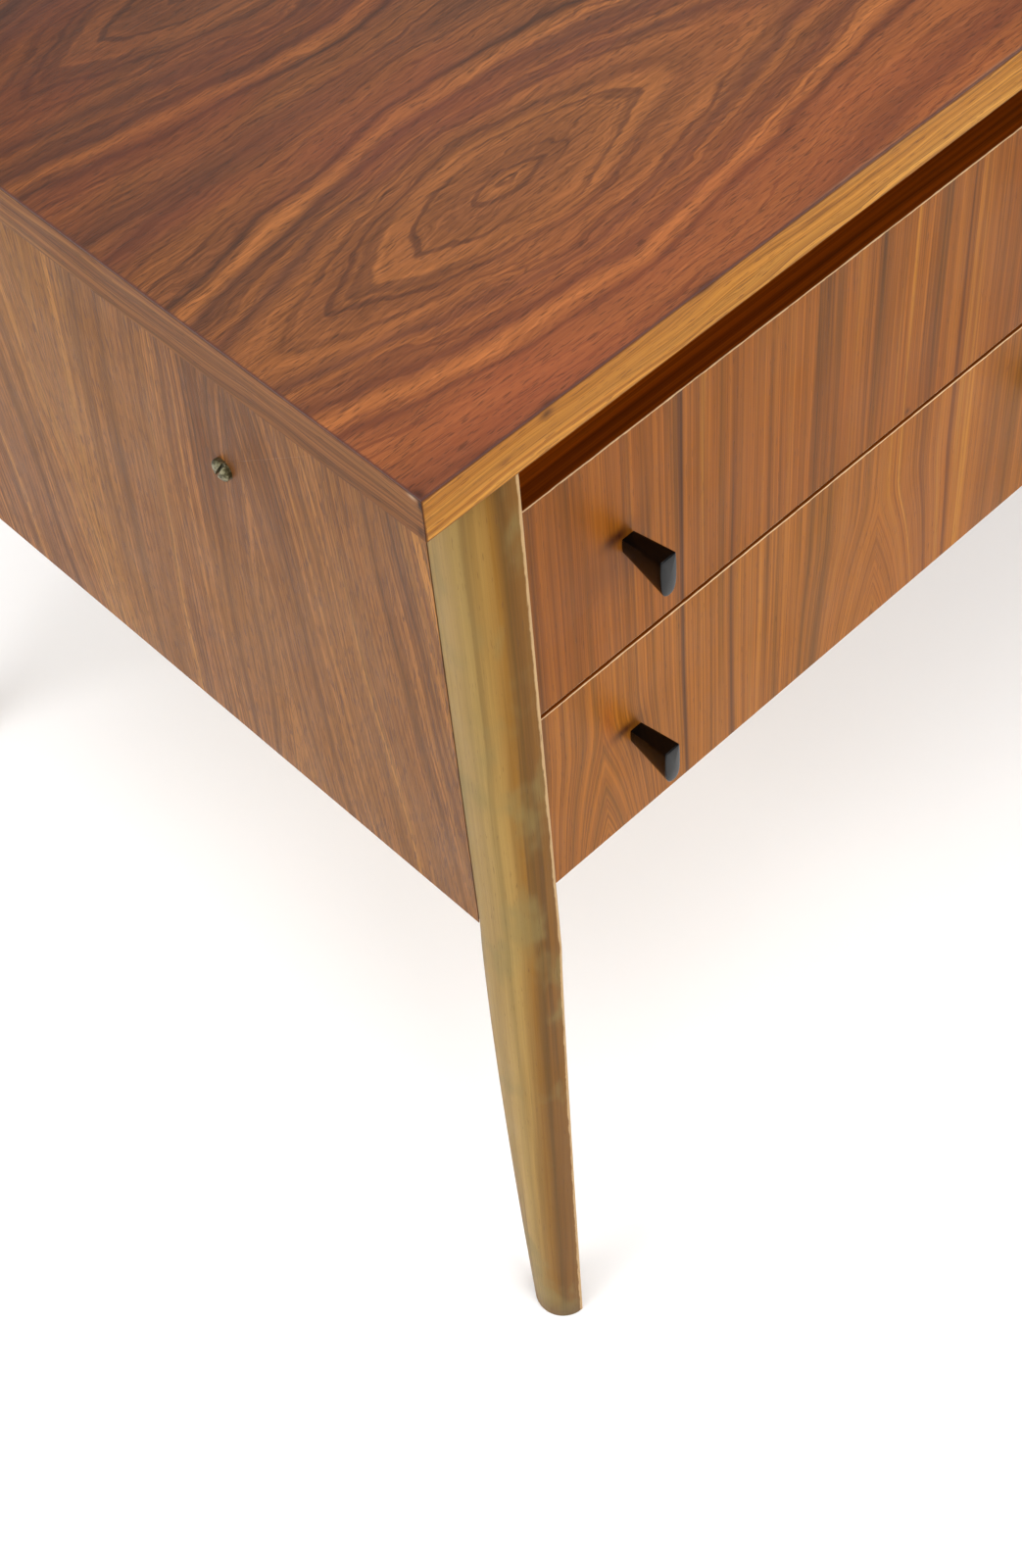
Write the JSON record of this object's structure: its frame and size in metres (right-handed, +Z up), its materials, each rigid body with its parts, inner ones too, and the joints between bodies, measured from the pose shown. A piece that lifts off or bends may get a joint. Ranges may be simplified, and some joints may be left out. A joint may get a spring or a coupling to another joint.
{
  "type": "writing desk with drawers",
  "caption": "Writing desk: veneered top on D-section tapered legs, side panels, a pedestal of sliding drawers and an open knee space.",
  "frame": {"origin": "on the floor, under the centre of the top", "axes": "+X to the right of the person who sits at the desk, +Y to the back, +Z up"},
  "size_m": [1.3, 0.65, 0.745],
  "materials": {
    "top_veneer": "satin lacquered figured veneer",
    "lipping": "oiled solid hardwood",
    "end_band": "satin veneer edge band",
    "core_board": "raw board",
    "leg_wood": "satin solid hardwood",
    "panel_veneer": "satin walnut veneer",
    "front_veneer": "satin walnut veneer",
    "inside_wood": "planed softwood",
    "plywood": "sanded plywood",
    "knob": "gloss moulded plastic",
    "steel_screw": "plated steel",
    "brass_screw": "tarnished brass"
  },
  "bodies": {
    "desk": {"back_left_leg": "leg_wood", "back_lipping": "lipping", "back_panel": "panel_veneer", "back_right_leg": "leg_wood", "front_left_leg": "leg_wood", "front_lipping": "lipping", "front_panel_screw": "brass_screw", "front_right_leg": "leg_wood", "kneehole_front_rail": "front_veneer", "left_cleat": "inside_wood", "left_lipping": "end_band", "left_side_panel": "panel_veneer", "lower_left_runner": "inside_wood", "lower_right_runner": "inside_wood", "partition": "panel_veneer", "partition_cleat": "inside_wood", "pedestal_bottom": "plywood", "pedestal_front_rail": "front_veneer", "rear_panel_screw": "brass_screw", "right_cleat": "inside_wood", "right_lipping": "end_band", "right_side_panel": "panel_veneer", "top_core": "core_board", "top_veneer": "top_veneer", "upper_left_runner": "inside_wood", "upper_right_runner": "inside_wood"},
    "upper_drawer": {"upper_drawer_back": "inside_wood", "upper_drawer_bottom": "plywood", "upper_drawer_front": "front_veneer", "upper_drawer_left_side": "inside_wood", "upper_drawer_right_side": "inside_wood", "upper_left_knob": "knob", "upper_left_knob_screw": "steel_screw", "upper_right_knob": "knob", "upper_right_knob_screw": "steel_screw"},
    "lower_drawer": {"lower_drawer_back": "inside_wood", "lower_drawer_bottom": "plywood", "lower_drawer_front": "front_veneer", "lower_drawer_left_side": "inside_wood", "lower_drawer_right_side": "inside_wood", "lower_left_knob": "knob", "lower_left_knob_screw": "steel_screw", "lower_right_knob": "knob", "lower_right_knob_screw": "steel_screw"}
  },
  "joints": [
    {"name": "upper_drawer_slide", "type": "slide", "parent": "desk", "child": "upper_drawer", "axis": [0, -1, 0], "range_m": [0, 0.4]},
    {"name": "lower_drawer_slide", "type": "slide", "parent": "desk", "child": "lower_drawer", "axis": [0, -1, 0], "range_m": [0, 0.4]}
  ]
}
